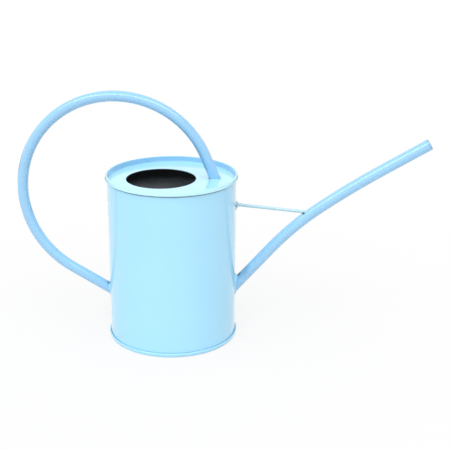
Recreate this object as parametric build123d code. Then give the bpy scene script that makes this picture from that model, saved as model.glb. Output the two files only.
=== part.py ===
from build123d import *
import math
import os

# A two-litre watering can of painted sheet steel. A rolled body is closed by two pressed plates
# with folded rims, a loop handle and a long spout of bent tube are welded on, and a thin rod
# braces the spout. X points along the spout, the handle loop is on the -X side, and the can
# stands on z = 0 with its body centred on the Z axis. Lengths are in millimetres.

# Sheet steel
SHEET = 0.4                  # thickness of the rolled and pressed sheet
FOLD_GAP = 0.05              # clearance between two layers that are pressed flat
HOOK_CLEARANCE = 0.5         # free space past the end of each hooked edge
SEAL_THICKNESS = 0.3         # sealing compound in the crown of each folded rim

# Body and its two plates
BODY_HEIGHT = 175.6          # floor to the top of the rim
BODY_DIAMETER = 132.3        # outside of the rolled body
RIM_OVERHANG = 2.0           # rims stand out this far, over three layers of a slack fold
RIM_HEIGHT = 4.8             # height of each folded rim
RIM_BEND = 0.8               # middle-line bend radius of the sheet at a rim's crown
PANEL_RECESS = 5.8           # crown of a rim to the flat panel inside it
PANEL_BEND = 1.6             # middle-line bend radius between the panel and its upright wall
MOUTH_DIAMETER = 71.0        # filling hole in the top plate
MOUTH_OFFSET = 10.8          # the hole's centre lies this far behind the body's axis
HEM_DEPTH = 4.0              # width of the edge folded under around the filling hole
HEM_GAP = 0.4                # space inside that folded edge

# Lock seam that closes the rolled body, on the far side next to the handle
SIDE_SEAM_ANGLE = 150.0      # degrees from +X towards +Y
SIDE_SEAM_WIDTH = 7.0        # width of the folded layers
SIDE_SEAM_MARGIN = 2.0       # seam's ends to the folded rims

# Handle
HANDLE_DIAMETER = 11.0
HANDLE_WALL = 0.8
HANDLE_FOOT_INSET = 23.7     # front of the rim to the middle of the handle's foot
HANDLE_FOOT_LEAN = 22.7      # degrees that the foot leans back from upright
HANDLE_ROOT_HEIGHT = 48.0    # where the lower end meets the body
HANDLE_ROOT_SLOPE = 31.9     # degrees that the lower end slopes down to the body
HANDLE_FRONT_BEND = 99.2     # bend radius from the foot to the top
HANDLE_BACK_BEND = 95.3      # bend radius from the top to the back
HANDLE_BACK_TURN = 71.9      # degrees turned by that bend
HANDLE_LOWER_BEND = 100.8    # bend radius from the back to the lower end

# Spout
SPOUT_DIAMETER = 11.8
SPOUT_WALL = 0.8
SPOUT_ROOT_HEIGHT = 52.6     # where the spout's middle line leaves the body
SPOUT_RISE = 48.6            # degrees above level at the body
SPOUT_LOWER_RUN = 55.6       # straight length from the body
SPOUT_FIRST_BEND = 295.0     # bend radius of the first bend
SPOUT_FIRST_TURN = 13.1      # degrees
SPOUT_SECOND_BEND = 875.0    # bend radius of the second, slacker bend
SPOUT_SECOND_TURN = 5.0      # degrees
SPOUT_UPPER_RUN = 52.4       # straight length to the tip
SPOUT_STUB = 2.0             # reach of the spout past the body's inner face
SPOUT_HOLE_CLEARANCE = 0.1   # round the spout in the body's hole

# Brace
BRACE_DIAMETER = 3.4
BRACE_WALL_HEIGHT = 142.3    # where the rod leaves the body
BRACE_SLOPE = 6.0            # degrees that the rod falls towards the spout

# Welds
TUBE_WELD_LEG = 1.4          # fillet weld round the tubes
BRACE_WALL_WELD_LEG = 2.2    # fillet weld round the rod on the body
BRACE_SPOUT_WELD_LEG = 1.1   # fillet weld round the rod on the spout
WELD_LAND = 0.3              # width of a weld's upper edge

# Places worked out from the sizes above
LAYER = SHEET + FOLD_GAP     # step from layer to layer in the side seam
RIM_LAYER = RIM_OVERHANG / 3   # the same in the rims
BODY_RADIUS = BODY_DIAMETER / 2
RIM_RADIUS = BODY_RADIUS + RIM_OVERHANG
PANEL_TOP = BODY_HEIGHT - PANEL_RECESS
UPRIGHT = BODY_RADIUS - SHEET - FOLD_GAP - SHEET / 2   # middle of the sheet inside the wall
RIM_COVER = RIM_RADIUS - SHEET / 2                     # middle of the sheet outside the rim
MOUTH_X = -MOUTH_OFFSET
FULL_FOLD = 0.48             # bend radius of a full fold, as a share of the distance it spans


def place(x, z):
    """Point in the plane of symmetry."""
    return Vector(x, 0, z)


def heading(degrees):
    """Unit direction in the plane of symmetry, in degrees up from +X."""
    return Vector(math.cos(math.radians(degrees)), 0, math.sin(math.radians(degrees)))


def folded_ring(points, radii):
    """Sheet turned about Z, whose middle line runs through (radius, height) points."""
    strip = trace(FilletPolyline(*points, radius=radii), line_width=SHEET)
    return revolve(Plane.XZ * strip, axis=Axis.Z)


def turned_over(shape):
    """The same piece upside down, for the other end of the body."""
    return Pos(0, 0, BODY_HEIGHT) * Rot(180, 0, 0) * shape


def bent_path(start, degrees, runs):
    """Straight runs and tangent bends in the plane of symmetry.

    Each run is ("straight", length) or ("bend", radius, turn), with turn in degrees,
    positive to the left.
    """
    edges = []
    point = start
    for run in runs:
        if run[0] == "straight":
            edge = Edge.make_line(point, point + heading(degrees) * run[1])
        else:
            radius, turn = run[1], run[2]
            side = math.copysign(90, turn)
            centre = point + heading(degrees + side) * radius
            middle = centre - heading(degrees + side + turn / 2) * radius
            end = centre - heading(degrees + side + turn) * radius
            edge = Edge.make_three_point_arc(point, middle, end)
            degrees += turn
        edges.append(edge)
        point = edge @ 1
    return Wire(edges)


def round_bar(path, diameter):
    """Round bar along a path."""
    section = Plane(origin=path @ 0, z_dir=path % 0) * Circle(diameter / 2)
    return sweep(section, path=path)


def weld_collar(root, surface_normal, axis, diameter, leg):
    """Fillet weld round a bar that leaves a surface at root, before it is trimmed to fit.

    The collar starts one leg below the surface, so that it still meets a curved one.
    """
    lean = axis - surface_normal * axis.dot(surface_normal)
    rise = axis.dot(surface_normal)
    sections = []
    for height, spread in ((-leg, 2 * leg), (leg, WELD_LAND)):
        plane = Plane(origin=root + axis * (height / rise), x_dir=lean, z_dir=surface_normal)
        sections.append(plane * Ellipse(diameter / 2 / rise + spread, diameter / 2 + spread))
    return loft(sections)


# Handle and spout paths. The straight ends of the handle take up what its bends leave over.
HANDLE_FOOT = place(RIM_RADIUS - HANDLE_FOOT_INSET, PANEL_TOP)
HANDLE_ROOT = place(-BODY_RADIUS, HANDLE_ROOT_HEIGHT)
FOOT_HEADING = 90 + HANDLE_FOOT_LEAN
ROOT_HEADING = 360 - HANDLE_ROOT_SLOPE
HANDLE_BENDS = [
    ("bend", HANDLE_FRONT_BEND, 180 - FOOT_HEADING),
    ("bend", HANDLE_BACK_BEND, HANDLE_BACK_TURN),
    ("bend", HANDLE_LOWER_BEND, ROOT_HEADING - 180 - HANDLE_BACK_TURN),
]
BENT_SPAN = bent_path(HANDLE_FOOT, FOOT_HEADING, HANDLE_BENDS) @ 1 - HANDLE_FOOT
LEFT_OVER = HANDLE_ROOT - HANDLE_FOOT - BENT_SPAN
FOOT_AXIS = heading(FOOT_HEADING)
ROOT_AXIS = heading(ROOT_HEADING)
CROSSING = FOOT_AXIS.X * ROOT_AXIS.Z - FOOT_AXIS.Z * ROOT_AXIS.X
FOOT_RUN = (LEFT_OVER.X * ROOT_AXIS.Z - LEFT_OVER.Z * ROOT_AXIS.X) / CROSSING
ROOT_RUN = (FOOT_AXIS.X * LEFT_OVER.Z - FOOT_AXIS.Z * LEFT_OVER.X) / CROSSING

SPOUT_ROOT = place(BODY_RADIUS, SPOUT_ROOT_HEIGHT)
SPOUT_AXIS = heading(SPOUT_RISE)
SPOUT_BENDS = [
    ("bend", SPOUT_FIRST_BEND, -SPOUT_FIRST_TURN),
    ("bend", SPOUT_SECOND_BEND, -SPOUT_SECOND_TURN),
    ("straight", SPOUT_UPPER_RUN),
]
SPOUT_LINE = bent_path(SPOUT_ROOT, SPOUT_RISE, [("straight", SPOUT_LOWER_RUN)] + SPOUT_BENDS)

BRACE_ROOT = place(BODY_RADIUS, BRACE_WALL_HEIGHT)
BRACE_AXIS = heading(-BRACE_SLOPE)


def brace_reach():
    """Where along the spout, as a share of its length, the rod's line crosses its middle line."""
    low, high = 0.0, 1.0
    fall = math.tan(math.radians(BRACE_SLOPE))
    for _ in range(50):
        middle = (low + high) / 2
        point = SPOUT_LINE @ middle
        if point.Z < BRACE_ROOT.Z - fall * (point.X - BRACE_ROOT.X):
            low = middle
        else:
            high = middle
    return low


def body_core():
    """The space that the body fills, up to the top panel, which trims what is welded on."""
    return Cylinder(BODY_RADIUS, PANEL_TOP, align=(Align.CENTER, Align.CENTER, Align.MIN))


def spout_outside():
    """Outside of the spout, run on through the body's wall."""
    through = 2 * (SPOUT_STUB + SPOUT_DIAMETER) / SPOUT_AXIS.X
    runs = [("straight", through + SPOUT_LOWER_RUN)] + SPOUT_BENDS
    return bent_path(SPOUT_ROOT - SPOUT_AXIS * through, SPOUT_RISE, runs)


def lock_seam():
    """Plans of the slit between the rolled body's edges and of the two hooks that join them.

    One edge runs under the seam and folds back over itself. The other steps up, runs over the
    seam and folds back into the first, so four layers lie on each other.
    """
    wall = BODY_RADIUS - SHEET / 2
    hook = math.degrees(SIDE_SEAM_WIDTH / 2 / BODY_RADIUS)
    sheet = math.degrees(SHEET / BODY_RADIUS)
    slack = math.degrees(HOOK_CLEARANCE / BODY_RADIUS)
    step = hook + sheet + slack

    def sector(inner, outer, start, end):
        inner_arc = CenterArc((0, 0), inner, SIDE_SEAM_ANGLE + start, end - start)
        outer_arc = CenterArc((0, 0), outer, SIDE_SEAM_ANGLE + start, end - start)
        sides = [Line(inner_arc @ share, outer_arc @ share) for share in (0, 1)]
        return make_face([inner_arc, outer_arc] + sides)

    under = [wall + level * LAYER - SHEET / 2 for level in range(4)]
    over = [radius + SHEET for radius in under]
    slit = sector(wall - SHEET, wall + SHEET, hook + sheet, step)
    inner_hook = sector(wall, over[2], hook, hook + sheet)
    inner_hook += sector(under[2], over[2], -hook + slack, hook + sheet)
    outer_hook = sector(under[1], over[1], -hook - sheet, hook - slack)
    outer_hook += sector(under[1], over[3], -hook - sheet, -hook)
    outer_hook += sector(under[3], over[3], -hook - sheet, step + sheet)
    outer_hook += sector(wall, over[3], step, step + sheet)
    return slit, inner_hook, outer_hook


def body_wall():
    """Rolled body: both ends hooked for the rims, edges locked together, hole for the spout."""
    wall = BODY_RADIUS - SHEET / 2
    hook = wall + 2 * RIM_LAYER
    crown = SHEET + SEAL_THICKNESS + SHEET / 2
    hook_end = RIM_HEIGHT - SHEET - HOOK_CLEARANCE
    points = [
        (hook, hook_end),
        (hook, crown),
        (wall, crown),
        (wall, BODY_HEIGHT - crown),
        (hook, BODY_HEIGHT - crown),
        (hook, BODY_HEIGHT - hook_end),
    ]
    rolled = folded_ring(points, [FULL_FOLD * 2 * RIM_LAYER] * 4)

    slit, inner_hook, outer_hook = lock_seam()
    bottom = RIM_HEIGHT + SIDE_SEAM_MARGIN
    height = BODY_HEIGHT - 2 * bottom
    rolled -= Pos(0, 0, bottom) * extrude(slit, height)
    for hooked_edge in (inner_hook, outer_hook):
        rolled += Pos(0, 0, bottom) * extrude(hooked_edge, height)
    return rolled - round_bar(spout_outside(), SPOUT_DIAMETER + 2 * SPOUT_HOLE_CLEARANCE)


def pressed_plate():
    """Plate pressed with a sunk panel and an edge that folds over and under the body's hook."""
    hook = RIM_COVER - 2 * RIM_LAYER
    hook_end = SHEET + SEAL_THICKNESS + SHEET + HOOK_CLEARANCE
    points = [
        (0, PANEL_TOP - SHEET / 2),
        (UPRIGHT, PANEL_TOP - SHEET / 2),
        (UPRIGHT, BODY_HEIGHT - SHEET / 2),
        (RIM_COVER, BODY_HEIGHT - SHEET / 2),
        (RIM_COVER, BODY_HEIGHT - RIM_HEIGHT + SHEET / 2),
        (hook, BODY_HEIGHT - RIM_HEIGHT + SHEET / 2),
        (hook, BODY_HEIGHT - hook_end),
    ]
    full_fold = FULL_FOLD * 2 * RIM_LAYER
    return folded_ring(points, [PANEL_BEND, RIM_BEND, RIM_BEND, full_fold, full_fold])


def top_plate():
    """Top plate with the filling hole behind its middle, the hole's edge folded under."""
    panel = PANEL_TOP - SHEET / 2
    under = panel - SHEET - HEM_GAP
    lip = MOUTH_DIAMETER / 2 + SHEET / 2
    points = [(lip + HEM_DEPTH, panel), (lip, panel), (lip, under), (lip + HEM_DEPTH, under)]
    hem = folded_ring(points, FULL_FOLD * (SHEET + HEM_GAP))
    hole = Pos(0, 0, panel) * Cylinder(lip + HEM_DEPTH, 2 * SHEET)
    return pressed_plate() - Pos(MOUTH_X, 0, 0) * hole + Pos(MOUTH_X, 0, 0) * hem


def rim_seal():
    """Ring of sealing compound under the flat of the top plate's crown, on the body's hook."""
    ring = Circle(RIM_COVER - RIM_BEND) - Circle(UPRIGHT + RIM_BEND)
    ring = extrude(ring, SEAL_THICKNESS)
    return Pos(0, 0, BODY_HEIGHT - SHEET - SEAL_THICKNESS) * ring


def handle_outside():
    """Path of the handle, run on into the body at both ends."""
    spare = 2 * HANDLE_DIAMETER
    runs = [("straight", FOOT_RUN + spare)] + HANDLE_BENDS + [("straight", ROOT_RUN + spare)]
    return bent_path(HANDLE_FOOT - FOOT_AXIS * spare, FOOT_HEADING, runs)


def handle_tube():
    """Loop handle, its ends cut to sit on the top panel and on the body's side."""
    path = handle_outside()
    tube = round_bar(path, HANDLE_DIAMETER) - round_bar(path, HANDLE_DIAMETER - 2 * HANDLE_WALL)
    return tube - body_core()


def spout_tube():
    """Spout, let in through the body's wall and cut square at the tip."""
    path = spout_outside()
    tube = round_bar(path, SPOUT_DIAMETER) - round_bar(path, SPOUT_DIAMETER - 2 * SPOUT_WALL)
    inside = Cylinder(BODY_RADIUS - SHEET - SPOUT_STUB, 2 * BODY_HEIGHT)
    return tube - inside


def brace_outside():
    """Path of the brace, run on into the body and to the spout's middle line."""
    start = BRACE_ROOT - BRACE_AXIS * BRACE_DIAMETER
    return Wire([Edge.make_line(start, SPOUT_LINE @ brace_reach())])


def brace_rod():
    """Rod from the body to the top of the spout, cut to sit on both."""
    rod = round_bar(brace_outside(), BRACE_DIAMETER) - body_core()
    return rod - round_bar(spout_outside(), SPOUT_DIAMETER)


def handle_foot_weld():
    """Weld round the handle's foot on the top panel."""
    collar = weld_collar(HANDLE_FOOT, Vector(0, 0, 1), FOOT_AXIS, HANDLE_DIAMETER, TUBE_WELD_LEG)
    return collar - body_core() - round_bar(handle_outside(), HANDLE_DIAMETER)


def handle_root_weld():
    """Weld round the handle's lower end on the body's side."""
    collar = weld_collar(HANDLE_ROOT, Vector(-1, 0, 0), -ROOT_AXIS, HANDLE_DIAMETER, TUBE_WELD_LEG)
    return collar - body_core() - round_bar(handle_outside(), HANDLE_DIAMETER)


def spout_weld():
    """Weld round the spout on the body's side."""
    collar = weld_collar(SPOUT_ROOT, Vector(1, 0, 0), SPOUT_AXIS, SPOUT_DIAMETER, TUBE_WELD_LEG)
    return collar - body_core() - round_bar(spout_outside(), SPOUT_DIAMETER)


def brace_wall_weld():
    """Weld round the rod on the body's side."""
    collar = weld_collar(BRACE_ROOT, Vector(1, 0, 0), BRACE_AXIS, BRACE_DIAMETER, BRACE_WALL_WELD_LEG)
    return collar - body_core() - round_bar(brace_outside(), BRACE_DIAMETER)


def brace_spout_weld():
    """Weld round the rod on top of the spout."""
    share = brace_reach()
    far_end = SPOUT_LINE @ share
    along = SPOUT_LINE % share
    normal = Vector(-along.Z, 0, along.X)
    root = far_end + BRACE_AXIS * (SPOUT_DIAMETER / 2 / BRACE_AXIS.dot(normal))
    collar = weld_collar(root, normal, -BRACE_AXIS, BRACE_DIAMETER, BRACE_SPOUT_WELD_LEG)
    spout = round_bar(spout_outside(), SPOUT_DIAMETER)
    return collar - spout - round_bar(brace_outside(), BRACE_DIAMETER)


NODES = {
    "body_wall": body_wall(),
    "top_plate": top_plate(),
    "base_plate": turned_over(pressed_plate()),
    "top_rim_seal": rim_seal(),
    "base_rim_seal": turned_over(rim_seal()),
    "handle_tube": handle_tube(),
    "handle_foot_weld": handle_foot_weld(),
    "handle_root_weld": handle_root_weld(),
    "spout_tube": spout_tube(),
    "spout_weld": spout_weld(),
    "brace_rod": brace_rod(),
    "brace_wall_weld": brace_wall_weld(),
    "brace_spout_weld": brace_spout_weld(),
}

os.makedirs("parts", exist_ok=True)
for name, shape in NODES.items():
    export_step(shape, f"parts/{name}.step")
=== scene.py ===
import math
import random

import bpy
from mathutils import Matrix, Vector


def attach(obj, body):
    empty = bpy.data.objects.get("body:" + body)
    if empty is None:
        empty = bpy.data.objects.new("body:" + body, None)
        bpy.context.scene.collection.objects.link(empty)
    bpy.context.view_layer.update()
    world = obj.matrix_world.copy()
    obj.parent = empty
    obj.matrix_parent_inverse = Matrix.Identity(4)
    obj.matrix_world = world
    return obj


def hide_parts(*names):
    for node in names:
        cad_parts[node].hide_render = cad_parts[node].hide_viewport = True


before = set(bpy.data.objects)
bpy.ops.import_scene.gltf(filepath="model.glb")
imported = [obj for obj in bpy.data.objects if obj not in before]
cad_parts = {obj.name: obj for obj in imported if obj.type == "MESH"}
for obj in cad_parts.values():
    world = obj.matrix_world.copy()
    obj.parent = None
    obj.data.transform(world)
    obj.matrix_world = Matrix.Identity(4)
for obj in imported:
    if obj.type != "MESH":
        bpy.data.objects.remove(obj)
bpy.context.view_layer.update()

# Rolled body: one sheet of 0.4 mm steel rolled into a tube. Both ends are hooked outwards for
# the folded rims, the two edges are locked in a flat seam at the back, and a hole takes the
# spout. Glossy sky blue enamel covers the outside, and a thin dark coat the inside.
MM = 0.001
SHEET = 0.4 * MM
BODY_HEIGHT = 175.6 * MM
BODY_RADIUS = 66.15 * MM
WALL_MIDDLE = BODY_RADIUS - SHEET / 2
HOOK_MIDDLE = 67.0 * MM
HOOK_BEND = 0.5 * MM
HOOK_CROWN = 0.9 * MM
HOOK_END = 3.3 * MM
HOOK_LEG = HOOK_END - HOOK_CROWN - HOOK_BEND
HOOK_FLAT = HOOK_MIDDLE - WALL_MIDDLE - 2 * HOOK_BEND
ROUND_STEPS = 190
SEAM_START = math.radians(146.6)
SEAM_COLUMNS = 4
SEAM_BOTTOM = 6.8 * MM
SEAM_TOP = 168.8 * MM
SEAM_OUTSIDE = 67.5 * MM
SEAM_EDGE = 0.3 * MM
FACING_OUT = 0.9
SPOUT_ROOT = Vector((BODY_RADIUS, 0, 52.6 * MM))
SPOUT_RISE = math.radians(48.6)
SPOUT_HOLE = 6.0 * MM
HOLE_ROWS = (35 * MM, 75 * MM)
HOLE_CUT = 40 * MM
SLIVER = 0.001 * MM
SHARP_EDGE = 35
SKY_BLUE = (0.390, 0.750, 0.975, 1)
PALE_BLUE = (0.416, 0.780, 0.985, 1)
# Dark tone for the painted shade lines and the painted dark patches.
PAINTED_DARK = (0.035, 0.05, 0.06, 1)
DARK_COAT = (0.030, 0.034, 0.038, 1)
# Inner coat: light tone for thin patches and painted light deep down; heights where its painted
# shade fades.
THIN_AND_LIT_COAT = (0.560, 0.605, 0.645, 1)
COAT_SHADE_FADE = (158 * MM, 142 * MM)
# Painted shade lines on the wall, under the top rim and over the base rim: faint end, dark edge,
# depth.
SHADE_UNDER_TOP_RIM = (169.9 * MM, 170.5 * MM, 0.85)
SHADE_OVER_BASE_RIM = (5.5 * MM, 4.4 * MM, 0.2)


def heading_axis(heading):
    """Direction in the plane of symmetry, from its angle above +X."""
    return Vector((math.cos(heading), 0, math.sin(heading)))


def start_point(name, x, z):
    """Start a piece as one point in the plane of symmetry, in edit mode."""
    bpy.ops.object.select_all(action="DESELECT")
    bpy.ops.mesh.primitive_plane_add(size=MM, location=(x, 0, z))
    piece = bpy.context.object
    piece.name = name
    piece.data.name = name
    bpy.ops.object.transform_apply(location=True, rotation=True, scale=True)
    bpy.ops.object.mode_set(mode="EDIT")
    bpy.ops.mesh.select_mode(type="VERT")
    bpy.ops.mesh.select_all(action="SELECT")
    bpy.ops.mesh.merge(type="CENTER")
    return piece


def pull(pen, length):
    """Extrude the selected point or ring straight on, and return where the pen is then."""
    x, z, heading = pen
    move = heading_axis(heading) * length
    bpy.ops.mesh.extrude_region_move(TRANSFORM_OT_translate={"value": move})
    return (x + move.x, z + move.z, heading)


def bend(pen, radius, degrees, steps):
    """Spin the selected point or ring round a bend, to the left for a positive turn."""
    x, z, heading = pen
    turn = math.radians(degrees)
    side = heading + math.copysign(math.pi / 2, turn)
    centre = Vector((x, 0, z)) + heading_axis(side) * radius
    bpy.ops.mesh.spin(steps=steps, angle=turn, center=centre, axis=(0, 1, 0))
    end = centre - heading_axis(side + turn) * radius
    return (end.x, end.z, heading + turn)


def spin_round(centre_x=0):
    """Turn the drawn line into a ring about an upright axis."""
    bpy.ops.mesh.select_all(action="SELECT")
    centre = (centre_x, 0, 0)
    bpy.ops.mesh.spin(steps=ROUND_STEPS, angle=2 * math.pi, center=centre, axis=(0, 0, 1))
    tidy_faces()


def tidy_faces():
    """Close the seams and poles, and turn every face outwards."""
    bpy.ops.mesh.select_all(action="SELECT")
    bpy.ops.mesh.remove_doubles(threshold=SLIVER)
    bpy.ops.mesh.normals_make_consistent(inside=False)


def apply_modifier(piece, kind, **settings):
    """Add a modifier to a piece and apply it."""
    modifier = piece.modifiers.new(kind.title(), kind)
    for setting, value in settings.items():
        setattr(modifier, setting, value)
    bpy.context.view_layer.objects.active = piece
    bpy.ops.object.modifier_apply(modifier=modifier.name)


def cut_away(piece, cutter):
    """Cut another object out of a piece, remove that object, and close up slivers at the cut."""
    apply_modifier(piece, "BOOLEAN", operation="DIFFERENCE", object=cutter, solver="EXACT")
    bpy.data.objects.remove(cutter)
    bpy.ops.object.select_all(action="DESELECT")
    piece.select_set(True)
    bpy.ops.object.mode_set(mode="EDIT")
    bpy.ops.mesh.select_all(action="SELECT")
    bpy.ops.mesh.remove_doubles(threshold=SLIVER)
    bpy.ops.mesh.dissolve_degenerate(threshold=SLIVER)
    bpy.ops.object.mode_set(mode="OBJECT")


def round_cutter(radius, depth, middle, direction):
    """Plain round bar used only to cut other pieces."""
    bpy.ops.object.select_all(action="DESELECT")
    turn = Vector(direction).to_track_quat("Z", "Y").to_euler()
    bpy.ops.mesh.primitive_cylinder_add(
        vertices=ROUND_STEPS, radius=radius, depth=depth, location=middle, rotation=turn
    )
    return bpy.context.object


def pick_faces(piece, wanted):
    """Select the faces of a piece that a test accepts, in edit mode."""
    bpy.ops.object.mode_set(mode="EDIT")
    bpy.ops.mesh.select_mode(type="FACE")
    bpy.ops.mesh.select_all(action="DESELECT")
    bpy.ops.object.mode_set(mode="OBJECT")
    for face in piece.data.polygons:
        face.select = wanted(face)
    bpy.ops.object.mode_set(mode="EDIT")


def make_smooth(piece, degrees=SHARP_EDGE):
    """Shade a finished piece smooth, apart from edges sharper than an angle."""
    bpy.ops.object.mode_set(mode="OBJECT")
    bpy.ops.object.select_all(action="DESELECT")
    piece.select_set(True)
    bpy.context.view_layer.objects.active = piece
    bpy.ops.object.shade_smooth_by_angle(angle=math.radians(degrees))


def new_material(name):
    """New material with a plain shader, and its node tree."""
    material = bpy.data.materials.new(name)
    material.use_nodes = True
    return material, material.node_tree


def new_group(name, inputs, outputs):
    """Empty node group, and its sockets seen from inside: what it is given and what it puts out."""
    tree = bpy.data.node_groups.new(name, "ShaderNodeTree")
    for socket, kind in inputs.items():
        tree.interface.new_socket(socket, in_out="INPUT", socket_type="NodeSocket" + kind)
    for socket, kind in outputs.items():
        tree.interface.new_socket(socket, in_out="OUTPUT", socket_type="NodeSocket" + kind)
    return tree, tree.nodes.new("NodeGroupInput").outputs, tree.nodes.new("NodeGroupOutput").inputs


def feed(tree, value, socket):
    """Link a socket to another one, or set it to a plain value."""
    if isinstance(value, bpy.types.NodeSocket):
        tree.links.new(value, socket)
    else:
        socket.default_value = value


def object_point(tree):
    """Place of a spot on the object, in metres."""
    return tree.nodes.new("ShaderNodeTexCoord").outputs["Object"]


def noise(tree, point, scale, detail=2):
    """Soft random pattern from 0 to 1."""
    node = tree.nodes.new("ShaderNodeTexNoise")
    node.inputs["Scale"].default_value = scale
    node.inputs["Detail"].default_value = detail
    tree.links.new(point, node.inputs["Vector"])
    return node.outputs["Fac"]


def slope(tree, source, start, end, low, high, smooth=True):
    """Value that goes from low to high while another goes from start to end."""
    node = tree.nodes.new("ShaderNodeMapRange")
    node.interpolation_type = "SMOOTHSTEP" if smooth else "LINEAR"
    node.inputs["From Min"].default_value = start
    node.inputs["From Max"].default_value = end
    feed(tree, low, node.inputs["To Min"])
    feed(tree, high, node.inputs["To Max"])
    tree.links.new(source, node.inputs["Value"])
    return node.outputs["Result"]


def calculate(tree, operation, *values):
    """Sum, product or the like of numbers."""
    node = tree.nodes.new("ShaderNodeMath")
    node.operation = operation
    for value, socket in zip(values, node.inputs):
        feed(tree, value, socket)
    return node.outputs["Value"]


def measure(tree, operation, *points, result="Value"):
    """Distance, product or the like of points."""
    node = tree.nodes.new("ShaderNodeVectorMath")
    node.operation = operation
    for point, socket in zip(points, node.inputs):
        feed(tree, point, socket)
    return node.outputs[result]


def mix_colours(tree, share, first, second):
    """Colour that goes from the first to the second as the share goes from 0 to 1."""
    node = tree.nodes.new("ShaderNodeMix")
    node.data_type = "RGBA"
    feed(tree, share, node.inputs["Factor"])
    feed(tree, first, node.inputs["A"])
    feed(tree, second, node.inputs["B"])
    return node.outputs["Result"]


def two_tone(tree, share, dark, light, dark_at=0, light_at=1):
    """Colour ramp from a dark to a light tone."""
    node = tree.nodes.new("ShaderNodeValToRGB")
    first, last = node.color_ramp.elements
    first.position = dark_at
    first.color = dark
    last.position = light_at
    last.color = light
    tree.links.new(share, node.inputs["Fac"])
    return node.outputs["Color"]


def enamel_film():
    """Node group: how sprayed and stoved enamel varies over a surface."""
    tree, given, put_out = new_group(
        "enamel film",
        {
            "Point": "Vector", "Paint": "Color", "Thin paint": "Color",
            "Gloss": "Float", "Sheet wave": "Float",
        },
        {"Colour": "Color", "Roughness": "Float", "Height": "Float"},
    )
    cloud = noise(tree, given["Point"], scale=22, detail=3)
    thin = slope(tree, cloud, start=0.35, end=0.75, low=0, high=0.5, smooth=False)
    tint = mix_colours(tree, thin, given["Paint"], given["Thin paint"])
    tree.links.new(tint, put_out["Colour"])

    most_haze = 0.05
    haze = noise(tree, given["Point"], scale=60, detail=4)
    roughness = calculate(tree, "MULTIPLY_ADD", haze, most_haze, given["Gloss"])
    tree.links.new(roughness, put_out["Roughness"])

    peel_depth = 0.0015
    peel = noise(tree, given["Point"], scale=700, detail=1)
    wave = noise(tree, given["Point"], scale=26, detail=1)
    height = calculate(tree, "MULTIPLY", peel, peel_depth)
    height = calculate(tree, "MULTIPLY_ADD", wave, given["Sheet wave"], height)
    tree.links.new(height, put_out["Height"])
    return tree


def dark_patch():
    """Node group: a small patch painted dark, with a ragged edge."""
    tree, given, put_out = new_group(
        "dark_patch",
        {
            "Point": "Vector", "Colour": "Color", "Soot": "Color",
            "Place": "Vector", "Reach": "Float", "Depth": "Float",
        },
        {"Colour": "Color"},
    )
    away = measure(tree, "DISTANCE", given["Point"], given["Place"])
    away = calculate(tree, "DIVIDE", away, given["Reach"])
    raggedness = 0.5
    rag = noise(tree, given["Point"], scale=500)
    away = calculate(tree, "MULTIPLY_ADD", rag, raggedness, away)
    dark = slope(tree, away, start=0.75, end=1.25, low=given["Depth"], high=0)
    darkened = mix_colours(tree, dark, given["Colour"], given["Soot"])
    tree.links.new(darkened, put_out["Colour"])
    return tree


ENAMEL_FILM = enamel_film()
DARK_PATCH = dark_patch()


def enamel(name, thick_paint, thin_paint, gloss, coat, sheet_wave=0, dark_patches=()):
    """Glossy enamel. Gloss is its roughness, coat how much of a clear top layer it has, and
    sheet wave the unevenness of the metal in mm.

    Each dark patch is given by its place, its reach and its depth; most are painted shade in the
    corners of joints.
    """
    material, tree = new_material(name)
    shader = tree.nodes["Principled BSDF"]
    point = object_point(tree)
    film = tree.nodes.new("ShaderNodeGroup")
    film.node_tree = ENAMEL_FILM
    film.inputs["Paint"].default_value = thick_paint
    film.inputs["Thin paint"].default_value = thin_paint
    film.inputs["Gloss"].default_value = gloss
    film.inputs["Sheet wave"].default_value = sheet_wave
    tree.links.new(point, film.inputs["Point"])
    colour = film.outputs["Colour"]
    for place, reach, depth in dark_patches:
        patch = tree.nodes.new("ShaderNodeGroup")
        patch.node_tree = DARK_PATCH
        patch.inputs["Soot"].default_value = PAINTED_DARK
        patch.inputs["Place"].default_value = place
        patch.inputs["Reach"].default_value = reach
        patch.inputs["Depth"].default_value = depth
        tree.links.new(point, patch.inputs["Point"])
        tree.links.new(colour, patch.inputs["Colour"])
        colour = patch.outputs["Colour"]
    tree.links.new(colour, shader.inputs["Base Color"])
    tree.links.new(film.outputs["Roughness"], shader.inputs["Roughness"])
    relief = tree.nodes.new("ShaderNodeBump")
    relief.inputs["Strength"].default_value = 0.6
    relief.inputs["Distance"].default_value = MM
    tree.links.new(film.outputs["Height"], relief.inputs["Height"])
    tree.links.new(relief.outputs["Normal"], shader.inputs["Normal"])
    shader.inputs["IOR"].default_value = 1.5
    shader.inputs["Coat Weight"].default_value = coat
    shader.inputs["Coat Roughness"].default_value = 0.03
    return material


def inner_coat():
    """Thin dark coat on the inside of the body, patchy, with painted shade high up under the top
    plate and painted light deep down.
    """
    material, tree = new_material("dark inner coat")
    shader = tree.nodes["Principled BSDF"]
    point = object_point(tree)
    patchiness = 0.4
    patches = noise(tree, point, scale=35, detail=6)
    parts = tree.nodes.new("ShaderNodeSeparateXYZ")
    tree.links.new(point, parts.inputs["Vector"])
    # Painted shade high up under the top plate, fading to painted light deep down.
    depth = slope(tree, parts.outputs["Z"], *COAT_SHADE_FADE, low=0, high=0.52)
    thin = calculate(tree, "MULTIPLY_ADD", patches, patchiness, depth)
    shade = two_tone(tree, thin, DARK_COAT, THIN_AND_LIT_COAT, dark_at=0.3, light_at=0.85)
    tree.links.new(shade, shader.inputs["Base Color"])
    matt = slope(tree, patches, start=0, end=1, low=0.45, high=0.65, smooth=False)
    tree.links.new(matt, shader.inputs["Roughness"])
    return material


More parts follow.
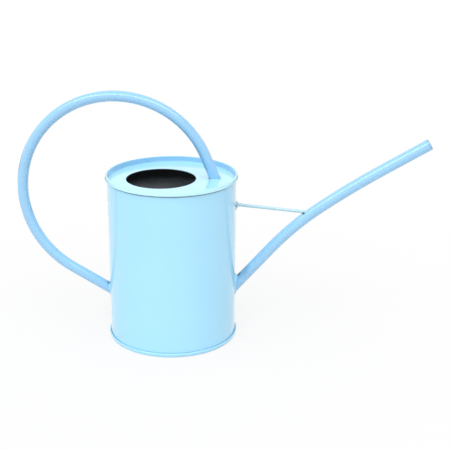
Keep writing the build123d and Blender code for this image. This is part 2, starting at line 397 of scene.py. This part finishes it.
def paint_shade_lines(material, axis, lines):
    """Painted shade: dark lines square to an axis.

    Each line is the place of its faint end, the place of its dark edge, and its depth.
    """
    tree = material.node_tree
    base = tree.nodes["Principled BSDF"].inputs["Base Color"]
    colour = base.links[0].from_socket
    place = measure(tree, "DOT_PRODUCT", object_point(tree), axis)
    for end, edge, depth in lines:
        line = slope(tree, place, end, edge, low=0, high=depth)
        colour = mix_colours(tree, line, colour, PAINTED_DARK)
    tree.links.new(colour, base)


SHEET_ENAMEL = enamel(
    "enamel on rolled sheet", SKY_BLUE, PALE_BLUE, gloss=0.03, coat=0.45, sheet_wave=0.012
)
# Painted shade: a dark line on the wall under the top rim, and a fainter one over the base rim.
paint_shade_lines(SHEET_ENAMEL, (0, 0, 1), [SHADE_UNDER_TOP_RIM, SHADE_OVER_BASE_RIM])
INNER_COAT = inner_coat()


def paint(piece, *materials):
    """Give a piece its material slots."""
    piece.data.materials.clear()
    for material in materials:
        piece.data.materials.append(material)


def fit(piece, node):
    """Put a finished piece in the place of its CAD node."""
    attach(piece, "root")
    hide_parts(node)


def fold_hook(pen):
    """Fold back on the middle line of a hook, from one leg to the other."""
    pen = bend(pen, HOOK_BEND, degrees=-90, steps=3)
    pen = pull(pen, HOOK_FLAT)
    return bend(pen, HOOK_BEND, degrees=-90, steps=3)


wall = start_point("rolled_body", HOOK_MIDDLE, HOOK_END)
pen = (HOOK_MIDDLE, HOOK_END, -math.pi / 2)
pen = fold_hook(pull(pen, HOOK_LEG))
for row in (SEAM_BOTTOM, *HOLE_ROWS, SEAM_TOP, BODY_HEIGHT - HOOK_CROWN - HOOK_BEND):
    pen = pull(pen, row - pen[1])
pull(fold_hook(pen), HOOK_LEG)
spin_round()
bpy.ops.mesh.flip_normals()
bpy.ops.transform.rotate(value=-SEAM_START, orient_axis="Z", center_override=(0, 0, 0))
bpy.ops.object.mode_set(mode="OBJECT")
paint(wall, SHEET_ENAMEL, INNER_COAT)
apply_modifier(wall, "SOLIDIFY", thickness=SHEET, offset=0, material_offset=1)


def on_seam(face):
    """Whether a face lies on the outside of the wall where its edges are locked."""
    x, y, z = face.center
    turn = math.atan2(y, x) - SEAM_START
    width = SEAM_COLUMNS * 2 * math.pi / ROUND_STEPS
    outside = face.normal.dot(Vector((x, y, 0)).normalized()) > FACING_OUT
    return outside and 0 < turn < width and SEAM_BOTTOM < z < SEAM_TOP


pick_faces(wall, on_seam)
bpy.ops.mesh.extrude_region_move()
swell = SEAM_OUTSIDE / BODY_RADIUS
bpy.ops.transform.resize(value=(swell, swell, 1), center_override=(0, 0, 0))
bpy.ops.mesh.region_to_loop()
bpy.ops.mesh.bevel(offset=SEAM_EDGE, segments=3, affect="EDGES")
bpy.ops.object.mode_set(mode="OBJECT")
SPOUT_AXIS = heading_axis(SPOUT_RISE)
cut_away(wall, round_cutter(SPOUT_HOLE, HOLE_CUT, SPOUT_ROOT, SPOUT_AXIS))
make_smooth(wall)
fit(wall, "body_wall")

# Base plate: pressed sheet with a sunk panel. Its edge is folded over the body's hooked end and
# back up under it, which makes the rim that the can stands on. Enamelled with the body.
PANEL_RECESS = 5.8 * MM
PANEL_TOP = BODY_HEIGHT - PANEL_RECESS
PANEL_MIDDLE = PANEL_TOP - SHEET / 2
PANEL_BEND = 1.6 * MM
UPRIGHT_MIDDLE = 65.5 * MM
RIM_CROWN = BODY_HEIGHT - SHEET / 2
RIM_BEND = 0.8 * MM
COVER_BEND = 0.87 * MM
COVER_TILT = 15
COVER_FOOT = 171.5 * MM
TUCK_BEND = 0.64 * MM
TUCK_MIDDLE = 66.55 * MM
TUCK_END = 174.0 * MM
BASE_ENAMEL = enamel(
    "enamel on base plate", SKY_BLUE, PALE_BLUE, gloss=0.06, coat=0.45, sheet_wave=0.03
)


def pressed_plate(name, panel_edge):
    """Sheet from a radius on the sunk panel out to the tucked edge of the rim."""
    piece = start_point(name, panel_edge, PANEL_MIDDLE)
    pen = (panel_edge, PANEL_MIDDLE, 0)
    pen = pull(pen, UPRIGHT_MIDDLE - PANEL_BEND - panel_edge)
    pen = bend(pen, PANEL_BEND, degrees=90, steps=8)
    pen = pull(pen, RIM_CROWN - RIM_BEND - pen[1])
    pen = bend(pen, RIM_BEND, degrees=-90, steps=6)
    pen = bend(pen, COVER_BEND, degrees=COVER_TILT - 90, steps=8)
    tilt = math.radians(COVER_TILT)
    fall = pen[1] - COVER_FOOT - TUCK_BEND * (1 + math.sin(tilt))
    pen = pull(pen, fall / math.cos(tilt))
    pen = bend(pen, TUCK_BEND, degrees=-90 - COVER_TILT, steps=6)
    pen = pull(pen, pen[0] - TUCK_MIDDLE - TUCK_BEND)
    pen = bend(pen, TUCK_BEND, degrees=-90, steps=5)
    pull(pen, TUCK_END - pen[1])
    spin_round()
    return piece


base = pressed_plate("pressed_base", 0)
middle = (0, 0, BODY_HEIGHT / 2)
bpy.ops.transform.rotate(value=math.pi, orient_axis="X", center_override=middle)
bpy.ops.object.mode_set(mode="OBJECT")
paint(base, BASE_ENAMEL)
apply_modifier(base, "SOLIDIFY", thickness=SHEET, offset=0)
make_smooth(base)
fit(base, "base_plate")

# Top plate: the same pressing, with a large filling hole set back from the spout. The hole's edge is
# folded under and pressed flat, so that it doesn't cut. It is enamelled with the body, apart from
# the fold and the underside, which have the dark coat of the inside.
MOUTH_X = -10.8 * MM
LIP_MIDDLE = 35.7 * MM
HEM_EDGE = 39.7 * MM
HEM_BEND = 0.384 * MM
HEM_DROP = 0.8 * MM
HEM_RUN = HEM_EDGE - LIP_MIDDLE - HEM_BEND
PANEL_EDGE = 61.0 * MM
COAT_EDGE = 0.04 * MM
TOUCH = 0.01 * MM
# Painted shade in deeper blue on the upright inside the rim.
GROOVE_INSIDE = (63.9 * MM, 64.9 * MM)
GROOVE_OUTSIDE = (65.7 * MM, 66.1 * MM)
GROOVE_SHADE = 0.5
GROOVE_SHADE_BLUE = (0.17, 0.45, 0.78, 1)
# Painted sheen in paler blue on the outside of the rim.
RIM_SHEEN_RADII = (66.5 * MM, 67.2 * MM)
RIM_SHEEN = 0.7
RIM_SHEEN_BLUE = (0.56, 0.90, 1.0, 1)


def tint_rim(material):
    """Painted shade in deeper blue inside the rim, and a painted sheen in paler blue on its outside.
    """
    tree = material.node_tree
    base = tree.nodes["Principled BSDF"].inputs["Base Color"]
    colour = base.links[0].from_socket
    level = measure(tree, "MULTIPLY", object_point(tree), (1, 1, 0), result="Vector")
    radius = measure(tree, "LENGTH", level)
    inner = slope(tree, radius, *GROOVE_INSIDE, low=0, high=GROOVE_SHADE, smooth=False)
    outer = slope(tree, radius, *GROOVE_OUTSIDE, low=1, high=0, smooth=False)
    # Painted shade on the upright inside the rim.
    colour = mix_colours(tree, calculate(tree, "MULTIPLY", inner, outer), colour, GROOVE_SHADE_BLUE)
    # Painted sheen on the outside of the rim.
    sheen = slope(tree, radius, *RIM_SHEEN_RADII, low=0, high=RIM_SHEEN, smooth=False)
    tree.links.new(mix_colours(tree, sheen, colour, RIM_SHEEN_BLUE), base)


TOP_ENAMEL = enamel(
    "enamel on top plate", SKY_BLUE, PALE_BLUE, gloss=0.06, coat=0.6, sheet_wave=0.02
)
tint_rim(TOP_ENAMEL)
top = pressed_plate("pressed_top", PANEL_EDGE)
bpy.ops.object.mode_set(mode="OBJECT")
start_point("folded_mouth", MOUTH_X + HEM_EDGE, PANEL_MIDDLE)
pen = (MOUTH_X + HEM_EDGE, PANEL_MIDDLE, math.pi)
pen = pull(pen, HEM_RUN)
pen = bend(pen, HEM_BEND, degrees=90, steps=5)
pen = pull(pen, HEM_DROP - 2 * HEM_BEND)
pen = bend(pen, HEM_BEND, degrees=90, steps=5)
pull(pen, HEM_RUN)
spin_round(MOUTH_X)
bpy.ops.object.mode_set(mode="OBJECT")
top.select_set(True)
bpy.context.view_layer.objects.active = top
bpy.ops.object.join()
bpy.ops.object.mode_set(mode="EDIT")
bpy.ops.mesh.select_mode(type="EDGE")
bpy.ops.mesh.select_all(action="DESELECT")
bpy.ops.object.mode_set(mode="OBJECT")
for edge in top.data.edges:
    ends = [top.data.vertices[corner].co for corner in edge.vertices]
    flat = all(abs(end.z - PANEL_MIDDLE) < TOUCH for end in ends)
    outer = all(abs(math.hypot(end.x, end.y) - PANEL_EDGE) < TOUCH for end in ends)
    inner = all(abs(math.hypot(end.x - MOUTH_X, end.y) - HEM_EDGE) < TOUCH for end in ends)
    edge.select = flat and (outer or inner)
bpy.ops.object.mode_set(mode="EDIT")
bpy.ops.mesh.bridge_edge_loops()
tidy_faces()
bpy.ops.object.mode_set(mode="OBJECT")
paint(top, TOP_ENAMEL, INNER_COAT)
apply_modifier(top, "SOLIDIFY", thickness=SHEET, offset=0)
for face in top.data.polygons:
    below = face.center.z < PANEL_TOP - COAT_EDGE
    if below and math.hypot(face.center.x, face.center.y) < UPRIGHT_MIDDLE - PANEL_BEND:
        face.material_index = 1
make_smooth(top)
fit(top, "top_plate")

# Rim seals: a ring of sealing compound inside each folded rim, squeezed between the body's
# hook and the plate. They don't show from outside.
SEAL_DARK = (0.16, 0.15, 0.13, 1)
SEAL_LIGHT = (0.27, 0.26, 0.23, 1)
SEALANT, tree = new_material("rim sealing compound")
shader = tree.nodes["Principled BSDF"]
shade = two_tone(tree, noise(tree, object_point(tree), scale=400), SEAL_DARK, SEAL_LIGHT)
tree.links.new(shade, shader.inputs["Base Color"])
shader.inputs["Roughness"].default_value = 0.7
for seal in ("top_rim_seal", "base_rim_seal"):
    paint(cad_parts[seal], SEALANT)

# Spout: steel tube, bent twice, let in through the body's wall and cut square at the tip. It is
# enamelled outside, and its bore is dark like the inside of the body.
TUBE_SIDES = 64
SPOUT_RADIUS = 5.9 * MM
SPOUT_WALL = 0.8 * MM
SPOUT_SPARE = 40 * MM
SPOUT_LOWER_RUN = 55.6 * MM
SPOUT_FIRST_BEND = {"radius": 295 * MM, "degrees": -13.1, "steps": 12}
SPOUT_SECOND_BEND = {"radius": 875 * MM, "degrees": -5.0, "steps": 8}
SPOUT_UPPER_RUN = 52.4 * MM
SPOUT_INSIDE = 63.75 * MM
TIP_BAND = 2.2 * MM
TIP_GROOVE = 0.25 * MM
TIP_EDGE = 0.2 * MM
TIP_LINE = (1.7 * MM, 0.4 * MM)
TIP_SHADE = 0.38
# Painted shade: the tubes have the body's enamel in a darker blue.
SHADED_TUBE_BLUE = (0.292, 0.578, 0.850, 1)
SHADED_TUBE_PALE = (0.313, 0.606, 0.867, 1)
# Painted shade: dark patches in the corner over the spout's root, along the spout's upper side by
# the body, and under the brace's end.
ROOT_CORNER = (Vector((69.6, 0, 65.6)) * MM, 4.2 * MM, 0.9)
ROOT_STREAK = (Vector((73.5, 0, 70.5)) * MM, 11.0 * MM, 0.25)
BRACE_CORNER = (Vector((136.0, -2.0, 133.7)) * MM, 2.0 * MM, 0.85)
SPOUT_ENAMEL = enamel(
    "enamel on spout", SHADED_TUBE_BLUE, SHADED_TUBE_PALE, gloss=0.03, coat=1.0,
    dark_patches=[ROOT_CORNER, ROOT_STREAK, BRACE_CORNER],
)


def start_ring(name, radius, sides, pen):
    """Start a piece as a ring square to the pen's heading, in edit mode."""
    x, z, heading = pen
    bpy.ops.object.select_all(action="DESELECT")
    bpy.ops.mesh.primitive_circle_add(
        vertices=sides, radius=radius, location=(x, 0, z), rotation=(0, math.pi / 2 - heading, 0)
    )
    piece = bpy.context.object
    piece.name = name
    piece.data.name = name
    bpy.ops.object.transform_apply(location=True, rotation=True, scale=True)
    bpy.ops.object.mode_set(mode="EDIT")
    bpy.ops.mesh.select_mode(type="VERT")
    bpy.ops.mesh.select_all(action="SELECT")
    return piece


def resize_ring(pen, size):
    """Make the selected ring larger or smaller about the pen."""
    bpy.ops.transform.resize(value=(size, size, size), center_override=(pen[0], 0, pen[1]))


start = SPOUT_ROOT - SPOUT_AXIS * SPOUT_SPARE
pen = (start.x, start.z, SPOUT_RISE)
spout = start_ring("bent_spout", SPOUT_RADIUS, TUBE_SIDES, pen)
pen = pull(pen, SPOUT_SPARE + SPOUT_LOWER_RUN)
for turn in (SPOUT_FIRST_BEND, SPOUT_SECOND_BEND):
    pen = bend(pen, **turn)
pen = pull(pen, SPOUT_UPPER_RUN - TIP_BAND)
groove = 1 - TIP_GROOVE / SPOUT_RADIUS
for size in (groove, 1 / groove):
    pen = pull(pen, TIP_GROOVE)
    resize_ring(pen, size)
pen = pull(pen, TIP_BAND - 2 * TIP_GROOVE - TIP_EDGE)
pen = pull(pen, TIP_EDGE)
resize_ring(pen, 1 - TIP_EDGE / SPOUT_RADIUS)
tidy_faces()
bpy.ops.object.mode_set(mode="OBJECT")
tip_axis = heading_axis(pen[2])
tip = tip_axis.dot(Vector((pen[0], 0, pen[1])))
line_end, line_edge = TIP_LINE
# Painted shade: a dark line round the end of the spout's tip.
paint_shade_lines(SPOUT_ENAMEL, tip_axis, [(tip - line_end, tip - line_edge, TIP_SHADE)])
paint(spout, SPOUT_ENAMEL, INNER_COAT)
apply_modifier(spout, "SOLIDIFY", thickness=SPOUT_WALL, offset=-1, material_offset=1)
cut_away(spout, round_cutter(SPOUT_INSIDE, 2 * BODY_HEIGHT, (0, 0, 0), (0, 0, 1)))
make_smooth(spout)
fit(spout, "spout_tube")

# Spout weld: a bead of weld run round the spout where it leaves the body, in short overlapping
# steps, thickest in the narrow corner above the spout, and painted over with the rest.
WELD_GRAIN = 0.22 * MM
WELD_EDGE = 50
EMBED = 0.05 * MM
SPOUT_BEAD = 1.1 * MM
SPOUT_LUMPS = 30
CORNER_FILL = 2.2 * MM
CORNER_SWELL = 0.5
SPOUT_CUT = 60 * MM
BEAD_ENAMEL = enamel("enamel on spout bead", SKY_BLUE, PALE_BLUE, gloss=0.10, coat=0.6)


def meet_round(point, axis, middle, along, radius):
    """Where a line, followed along its axis, comes out of a round bar."""
    side = axis - along * axis.dot(along)
    gap = (point - middle) - along * (point - middle).dot(along)
    a = side.dot(side)
    b = 2 * gap.dot(side)
    c = gap.dot(gap) - radius * radius
    return point + axis * ((-b + math.sqrt(b * b - 4 * a * c)) / (2 * a))


def meet_wall(point, axis):
    """Where a line along an axis that points outwards meets the body's outside."""
    return meet_round(point, axis, Vector((0, 0, 0)), Vector((0, 0, 1)), BODY_RADIUS)


def joint_line(root, axis, radius, meet, count):
    """Points round the line where a tube or rod meets what it is welded to."""
    level = Vector((0, 1, 0))
    across = axis.cross(level)
    points = []
    for step in range(count):
        turn = 2 * math.pi * step / count
        offset = (across * math.cos(turn) + level * math.sin(turn)) * radius
        points.append(meet(root + offset, axis))
    return points


def uneven(size, count, spread, seed):
    """Lump sizes that vary a little from step to step."""
    draw = random.Random(seed)
    return [size * (1 + spread * draw.uniform(-1, 1)) for _ in range(count)]


def weld_bead(name, points, sizes):
    """One lump of weld, copied along a joint and run together."""
    bpy.ops.object.select_all(action="DESELECT")
    bpy.ops.mesh.primitive_ico_sphere_add(subdivisions=3, radius=1, location=(0, 0, 0))
    lump = bpy.context.object
    copies = []
    for place, size in zip(points, sizes):
        copy = lump.copy()
        copy.data = lump.data.copy()
        copy.location = place
        copy.scale = (size, size, size)
        bpy.context.collection.objects.link(copy)
        copies.append(copy)
    bpy.data.objects.remove(lump)
    for copy in copies:
        copy.select_set(True)
    piece = copies[0]
    bpy.context.view_layer.objects.active = piece
    bpy.ops.object.join()
    bpy.ops.object.transform_apply(location=True, rotation=True, scale=True)
    piece.name = name
    piece.data.name = name
    apply_modifier(piece, "REMESH", mode="VOXEL", voxel_size=WELD_GRAIN)
    apply_modifier(piece, "SMOOTH", factor=0.5, iterations=6)
    return piece


def body_core():
    """The space that the body fills, a little inside its surface."""
    height = PANEL_TOP - EMBED
    return round_cutter(BODY_RADIUS - EMBED, height, (0, 0, height / 2), (0, 0, 1))


def finish_weld(piece, material, node):
    """Paint a bead that is cut to its place, and put it in."""
    paint(piece, material)
    make_smooth(piece, WELD_EDGE)
    fit(piece, node)


points = joint_line(SPOUT_ROOT, SPOUT_AXIS, SPOUT_RADIUS, meet_wall, SPOUT_LUMPS)
sizes = uneven(SPOUT_BEAD, SPOUT_LUMPS, spread=0.12, seed=3)
out_of_corner = (SPOUT_AXIS + Vector((0, 0, 1))).normalized()
for step in range(SPOUT_LUMPS):
    upper = max(0, math.cos(2 * math.pi * step / SPOUT_LUMPS)) ** 2
    points[step] += out_of_corner * CORNER_FILL * upper
    sizes[step] *= 1 + CORNER_SWELL * upper
spout_bead = weld_bead("spout_bead", points, sizes)
cut_away(spout_bead, body_core())
cut_away(spout_bead, round_cutter(SPOUT_RADIUS - EMBED, SPOUT_CUT, SPOUT_ROOT, SPOUT_AXIS))
finish_weld(spout_bead, BEAD_ENAMEL, "spout_weld")

# Handle: one length of steel tube in a wide loop, made of three bends and enamelled like the spout.
# Its foot stands on the top panel and its lower end on the back of the body, both cut to fit.
HANDLE_RADIUS = 5.5 * MM
HANDLE_WALL = 0.8 * MM
HANDLE_FOOT = Vector((44.45 * MM, 0, PANEL_TOP))
HANDLE_ROOT = Vector((-BODY_RADIUS, 0, 48.0 * MM))
HANDLE_SPARE = 22.0 * MM
FOOT_HEADING = math.radians(112.7)
FRONT_BEND = {"radius": 99.2 * MM, "degrees": 67.3, "steps": 30}
BACK_BEND = {"radius": 95.3 * MM, "degrees": 71.9, "steps": 32}
LOWER_BEND = {"radius": 100.8 * MM, "degrees": 76.2, "steps": 36}
HANDLE_BENDS = (FRONT_BEND, BACK_BEND, LOWER_BEND)
# Painted shade: dark patches in the corners where the handle meets the top panel and the body.
FOOT_CORNER = (Vector((37.5, -1.0, 170.5)) * MM, 3.4 * MM, 0.8)
BACK_CORNER = (Vector((-68.0, -1.0, 54.5)) * MM, 3.8 * MM, 0.5)
HANDLE_DARK_PATCHES = [FOOT_CORNER, BACK_CORNER]
HANDLE_ENAMEL = enamel(
    "enamel on handle", SHADED_TUBE_BLUE, SHADED_TUBE_PALE, gloss=0.03, coat=1.0, dark_patches=HANDLE_DARK_PATCHES
)

# The two straight runs are what the bends leave of the way from the foot to the lower end.
straight = HANDLE_ROOT - HANDLE_FOOT
heading = FOOT_HEADING
for turn in HANDLE_BENDS:
    turned = heading + math.radians(turn["degrees"])
    way = Vector((math.sin(turned) - math.sin(heading), 0, math.cos(heading) - math.cos(turned)))
    straight -= way * turn["radius"]
    heading = turned
FOOT_AXIS = heading_axis(FOOT_HEADING)
ROOT_AXIS = heading_axis(heading)
FOOT_RUN = straight.cross(ROOT_AXIS).y / FOOT_AXIS.cross(ROOT_AXIS).y
ROOT_RUN = FOOT_AXIS.cross(straight).y / FOOT_AXIS.cross(ROOT_AXIS).y

start = HANDLE_FOOT - FOOT_AXIS * HANDLE_SPARE
pen = (start.x, start.z, FOOT_HEADING)
handle = start_ring("loop_handle", HANDLE_RADIUS, TUBE_SIDES, pen)
pen = pull(pen, HANDLE_SPARE + FOOT_RUN)
for turn in HANDLE_BENDS:
    pen = bend(pen, **turn)
pull(pen, ROOT_RUN + HANDLE_SPARE)
tidy_faces()
bpy.ops.object.mode_set(mode="OBJECT")
apply_modifier(handle, "SOLIDIFY", thickness=HANDLE_WALL, offset=-1)
cut_away(handle, body_core())
paint(handle, HANDLE_ENAMEL)
make_smooth(handle)
fit(handle, "handle_tube")

# Handle welds: the same kind of bead round the foot on the top panel and round the lower end on
# the body, in the body's own blue.
FOOT_BEAD = 0.9 * MM
ROOT_BEAD = 1.1 * MM
HANDLE_LUMPS = 28
HANDLE_CUT = 40 * MM
WELD_ENAMEL = enamel(
    "enamel on handle bead", SKY_BLUE, PALE_BLUE, gloss=0.10, coat=0.6, dark_patches=HANDLE_DARK_PATCHES
)


def meet_panel(point, axis):
    """Where a line meets the top panel."""
    return point + axis * ((PANEL_TOP - point.z) / axis.z)


points = joint_line(HANDLE_FOOT, FOOT_AXIS, HANDLE_RADIUS, meet_panel, HANDLE_LUMPS)
sizes = uneven(FOOT_BEAD, HANDLE_LUMPS, spread=0.12, seed=5)
foot_bead = weld_bead("handle_foot_bead", points, sizes)
cut_away(foot_bead, body_core())
cut_away(foot_bead, round_cutter(HANDLE_RADIUS - EMBED, HANDLE_CUT, HANDLE_FOOT, FOOT_AXIS))
points = joint_line(HANDLE_ROOT, -ROOT_AXIS, HANDLE_RADIUS, meet_wall, HANDLE_LUMPS)
sizes = uneven(ROOT_BEAD, HANDLE_LUMPS, spread=0.12, seed=7)
root_bead = weld_bead("handle_root_bead", points, sizes)
cut_away(root_bead, body_core())
cut_away(root_bead, round_cutter(HANDLE_RADIUS - EMBED, HANDLE_CUT, HANDLE_ROOT, ROOT_AXIS))
finish_weld(foot_bead, WELD_ENAMEL, "handle_foot_weld")
finish_weld(root_bead, WELD_ENAMEL, "handle_root_weld")

# Brace: a thin steel rod from the body down to the top of the spout's first bend, cut to sit on
# both. Its enamel is painted greyer and paler than the rest, as a painted sheen over the thin rod.
BRACE_RADIUS = 1.7 * MM
BRACE_SIDES = 32
BRACE_SLOPE = math.radians(-6.0)
BRACE_ROOT = Vector((BODY_RADIUS, 0, 142.3 * MM))
BRACE_SPARE = 3 * MM
BRACE_CUT = 40 * MM
# Painted sheen: the rod and its tacks get a greyer, paler blue.
ROD_SHEEN_BLUE = (0.43, 0.64, 0.73, 1)
ROD_SHEEN_PALE = (0.50, 0.69, 0.76, 1)
ROD_ENAMEL = enamel("paler enamel on rod", ROD_SHEEN_BLUE, ROD_SHEEN_PALE, gloss=0.10, coat=0.6)

BRACE_AXIS = heading_axis(BRACE_SLOPE)
bend_start = SPOUT_ROOT + SPOUT_AXIS * SPOUT_LOWER_RUN
bend_radius = SPOUT_FIRST_BEND["radius"]
bend_centre = bend_start + heading_axis(SPOUT_RISE - math.pi / 2) * bend_radius
level = Vector((0, 1, 0))
BRACE_END = meet_round(BRACE_ROOT, -BRACE_AXIS, bend_centre, level, bend_radius)
SPOUT_AT_BRACE = level.cross(BRACE_END - bend_centre).normalized()
start = BRACE_ROOT - BRACE_AXIS * BRACE_SPARE
pen = (start.x, start.z, BRACE_SLOPE)
brace = start_ring("brace_bar", BRACE_RADIUS, BRACE_SIDES, pen)
bpy.ops.mesh.edge_face_add()
pull(pen, (BRACE_END - start).length)
tidy_faces()
bpy.ops.object.mode_set(mode="OBJECT")
cut_away(brace, body_core())
cut_away(brace, round_cutter(SPOUT_RADIUS - EMBED, BRACE_CUT, BRACE_END, SPOUT_AT_BRACE))
paint(brace, ROD_ENAMEL)
make_smooth(brace)
fit(brace, "brace_rod")

# Brace welds: a lumpy tack all round the rod on the body, with a short run below it, and a small
# one where the rod sits on the spout. Dark spots are painted on the first, and painted shade on the
# second.
WALL_TACK = 2.1 * MM
WALL_LUMPS = 9
RUN_DROPS = (3.0 * MM, 4.2 * MM, 5.4 * MM)
RUN_SIZES = (1.2 * MM, 0.9 * MM, 0.7 * MM)
SPOUT_TACK = 0.9 * MM
TACK_LUMPS = 10
# Dark spots painted on the wall tack.
WALL_DARK_SPOTS = [
    (Vector((66.5, -3.4, 141.6)) * MM, 1.4 * MM, 0.7),
    (Vector((68.6, -2.4, 140.0)) * MM, 1.3 * MM, 0.7),
    (Vector((67.6, -2.8, 144.4)) * MM, 1.1 * MM, 0.6),
    (Vector((66.8, -1.0, 137.4)) * MM, 1.2 * MM, 0.4),
]
WALL_TACK_ENAMEL = enamel(
    "paler enamel on wall tack", ROD_SHEEN_BLUE, ROD_SHEEN_PALE, gloss=0.12, coat=0.6, dark_patches=WALL_DARK_SPOTS
)
SPOUT_TACK_ENAMEL = enamel(
    "paler enamel on spout tack", ROD_SHEEN_BLUE, ROD_SHEEN_PALE, gloss=0.12, coat=0.6, dark_patches=[BRACE_CORNER]
)


def meet_spout(point, axis):
    """Where a line meets the outside of the spout at the brace."""
    return meet_round(point, axis, BRACE_END, SPOUT_AT_BRACE, SPOUT_RADIUS)


points = joint_line(BRACE_ROOT, BRACE_AXIS, BRACE_RADIUS, meet_wall, WALL_LUMPS)
points += [BRACE_ROOT - Vector((0, 0, drop)) for drop in RUN_DROPS]
sizes = uneven(WALL_TACK, WALL_LUMPS, spread=0.3, seed=11)
wall_tack = weld_bead("brace_wall_tack", points, [*sizes, *RUN_SIZES])
cut_away(wall_tack, body_core())
points = joint_line(BRACE_END, -BRACE_AXIS, BRACE_RADIUS, meet_spout, TACK_LUMPS)
sizes = uneven(SPOUT_TACK, TACK_LUMPS, spread=0.2, seed=13)
spout_tack = weld_bead("brace_spout_tack", points, sizes)
cut_away(spout_tack, round_cutter(SPOUT_RADIUS - EMBED, BRACE_CUT, BRACE_END, SPOUT_AT_BRACE))
finish_weld(wall_tack, WALL_TACK_ENAMEL, "brace_wall_weld")
finish_weld(spout_tack, SPOUT_TACK_ENAMEL, "brace_spout_weld")

# Floor: a large pale sheet just under the can. To the camera it is white, with a soft shadow near
# the can. To reflections in the enamel it is white too, but dimmer far behind the can.
FLOOR_SIZE = 8000 * MM
FLOOR_LEVEL = -0.2 * MM
FLOOR_GREY = (0.68, 0.68, 0.68, 1)
WHITE = (1, 1, 1, 1)
SHADOW_FADE = (150 * MM, 600 * MM)
SHADOW_WHITE = 0.82
DIM_BEHIND = (500 * MM, 720 * MM)
DIM_WHITE = 0.4
bpy.ops.object.select_all(action="DESELECT")
bpy.ops.mesh.primitive_plane_add(size=FLOOR_SIZE, location=(0, 0, FLOOR_LEVEL))
floor = bpy.context.object
floor.name = "studio_floor"
floor_paint, tree = new_material("pale floor")
floor_paint.cycles.emission_sampling = "NONE"
tree.nodes.remove(tree.nodes["Principled BSDF"])
matt = tree.nodes.new("ShaderNodeBsdfDiffuse")
matt.inputs["Color"].default_value = FLOOR_GREY
glow = tree.nodes.new("ShaderNodeEmission")
glow.inputs["Color"].default_value = WHITE
ray = tree.nodes.new("ShaderNodeLightPath").outputs
point = object_point(tree)
parts = tree.nodes.new("ShaderNodeSeparateXYZ")
tree.links.new(point, parts.inputs["Vector"])
mirrored = slope(tree, parts.outputs["Y"], *DIM_BEHIND, low=1, high=DIM_WHITE)
bright = calculate(tree, "MAXIMUM", ray["Is Camera Ray"], mirrored)
tree.links.new(bright, glow.inputs["Strength"])
fade = slope(tree, measure(tree, "LENGTH", point), *SHADOW_FADE, low=SHADOW_WHITE, high=1)
seen = calculate(tree, "MULTIPLY", ray["Is Camera Ray"], fade)
shown = calculate(tree, "MAXIMUM", seen, ray["Is Glossy Ray"])
blend = tree.nodes.new("ShaderNodeMixShader")
tree.links.new(shown, blend.inputs["Fac"])
tree.links.new(matt.outputs["BSDF"], blend.inputs[1])
tree.links.new(glow.outputs["Emission"], blend.inputs[2])
tree.links.new(blend.outputs["Shader"], tree.nodes["Material Output"].inputs["Surface"])
paint(floor, floor_paint)

# Light: white surroundings, which give all the light. There is a soft sky, a broad window at the
# front left, and a long strip above the camera that draws the bright lines on the tubes.
SHOWN_TOP = 0.45
SKY_LOW = 0.13
SKY_HIGH = 1.3
WINDOW_SIDE = Vector((-0.55, -0.62, 0.57)).normalized()
WINDOW_LIGHT = 0.5
STRIP_BOTTOM = (0.57, 0.65)
STRIP_TOP = (0.84, 0.90)
STRIP_BACK = (-0.35, -0.15)
STRIP_LIGHT = 2.7
world = bpy.data.worlds.new("white studio")
bpy.context.scene.world = world
world.use_nodes = True
tree = world.node_tree
ray = tree.nodes.new("ShaderNodeLightPath").outputs
shown = calculate(tree, "MAXIMUM", ray["Is Camera Ray"], ray["Is Glossy Ray"])
shown = calculate(tree, "MAXIMUM", shown, ray["Is Transmission Ray"])
direction = tree.nodes.new("ShaderNodeTexCoord").outputs["Generated"]
parts = tree.nodes.new("ShaderNodeSeparateXYZ")
tree.links.new(direction, parts.inputs["Vector"])
height = parts.outputs["Z"]
dome = slope(tree, height, start=0.3, end=0.7, low=1, high=SHOWN_TOP)
sky = slope(tree, height, start=0.2, end=1, low=SKY_LOW, high=SKY_HIGH)
facing = measure(tree, "DOT_PRODUCT", direction, WINDOW_SIDE)
window = slope(tree, facing, start=0.3, end=1, low=0, high=WINDOW_LIGHT)
strip = slope(tree, height, *STRIP_BOTTOM, low=0, high=STRIP_LIGHT)
under_top = slope(tree, height, *STRIP_TOP, low=1, high=0)
in_front = slope(tree, parts.outputs["Y"], *STRIP_BACK, low=1, high=0)
strip = calculate(tree, "MULTIPLY", strip, under_top)
strip = calculate(tree, "MULTIPLY", strip, in_front)
strength = tree.nodes.new("ShaderNodeMix")
tree.links.new(shown, strength.inputs["Factor"])
tree.links.new(calculate(tree, "ADD", sky, window), strength.inputs["A"])
tree.links.new(dome, strength.inputs["B"])
light = calculate(tree, "ADD", strength.outputs["Result"], strip)
background = tree.nodes["Background"]
background.inputs["Color"].default_value = WHITE
tree.links.new(light, background.inputs["Strength"])

# Camera: a long lens in front of the can and a little above it, turned and rolled slightly as in
# the photograph.
CAMERA_PLACE = Vector((53.1, -959.58, 455.09)) * MM
CAMERA_LENS = 78.16
SENSOR_WIDTH = 36
YAW = 0.0019
PITCH = 0.3362
ROLL = 0.0069
level_ahead = Vector((math.sin(YAW), math.cos(YAW), 0))
forward = math.cos(PITCH) * level_ahead - Vector((0, 0, math.sin(PITCH)))
right = Vector((math.cos(YAW), -math.sin(YAW), 0))
up = right.cross(forward)
rolled_right = math.cos(ROLL) * right + math.sin(ROLL) * up
rolled_up = math.cos(ROLL) * up - math.sin(ROLL) * right
bpy.ops.object.camera_add(location=CAMERA_PLACE)
camera = bpy.context.object
camera.name = "studio_camera"
camera.data.lens = CAMERA_LENS
camera.data.sensor_width = SENSOR_WIDTH
camera.rotation_euler = Matrix((rolled_right, rolled_up, -forward)).transposed().to_euler()
bpy.context.scene.camera = camera
bpy.context.scene.view_settings.view_transform = "Standard"
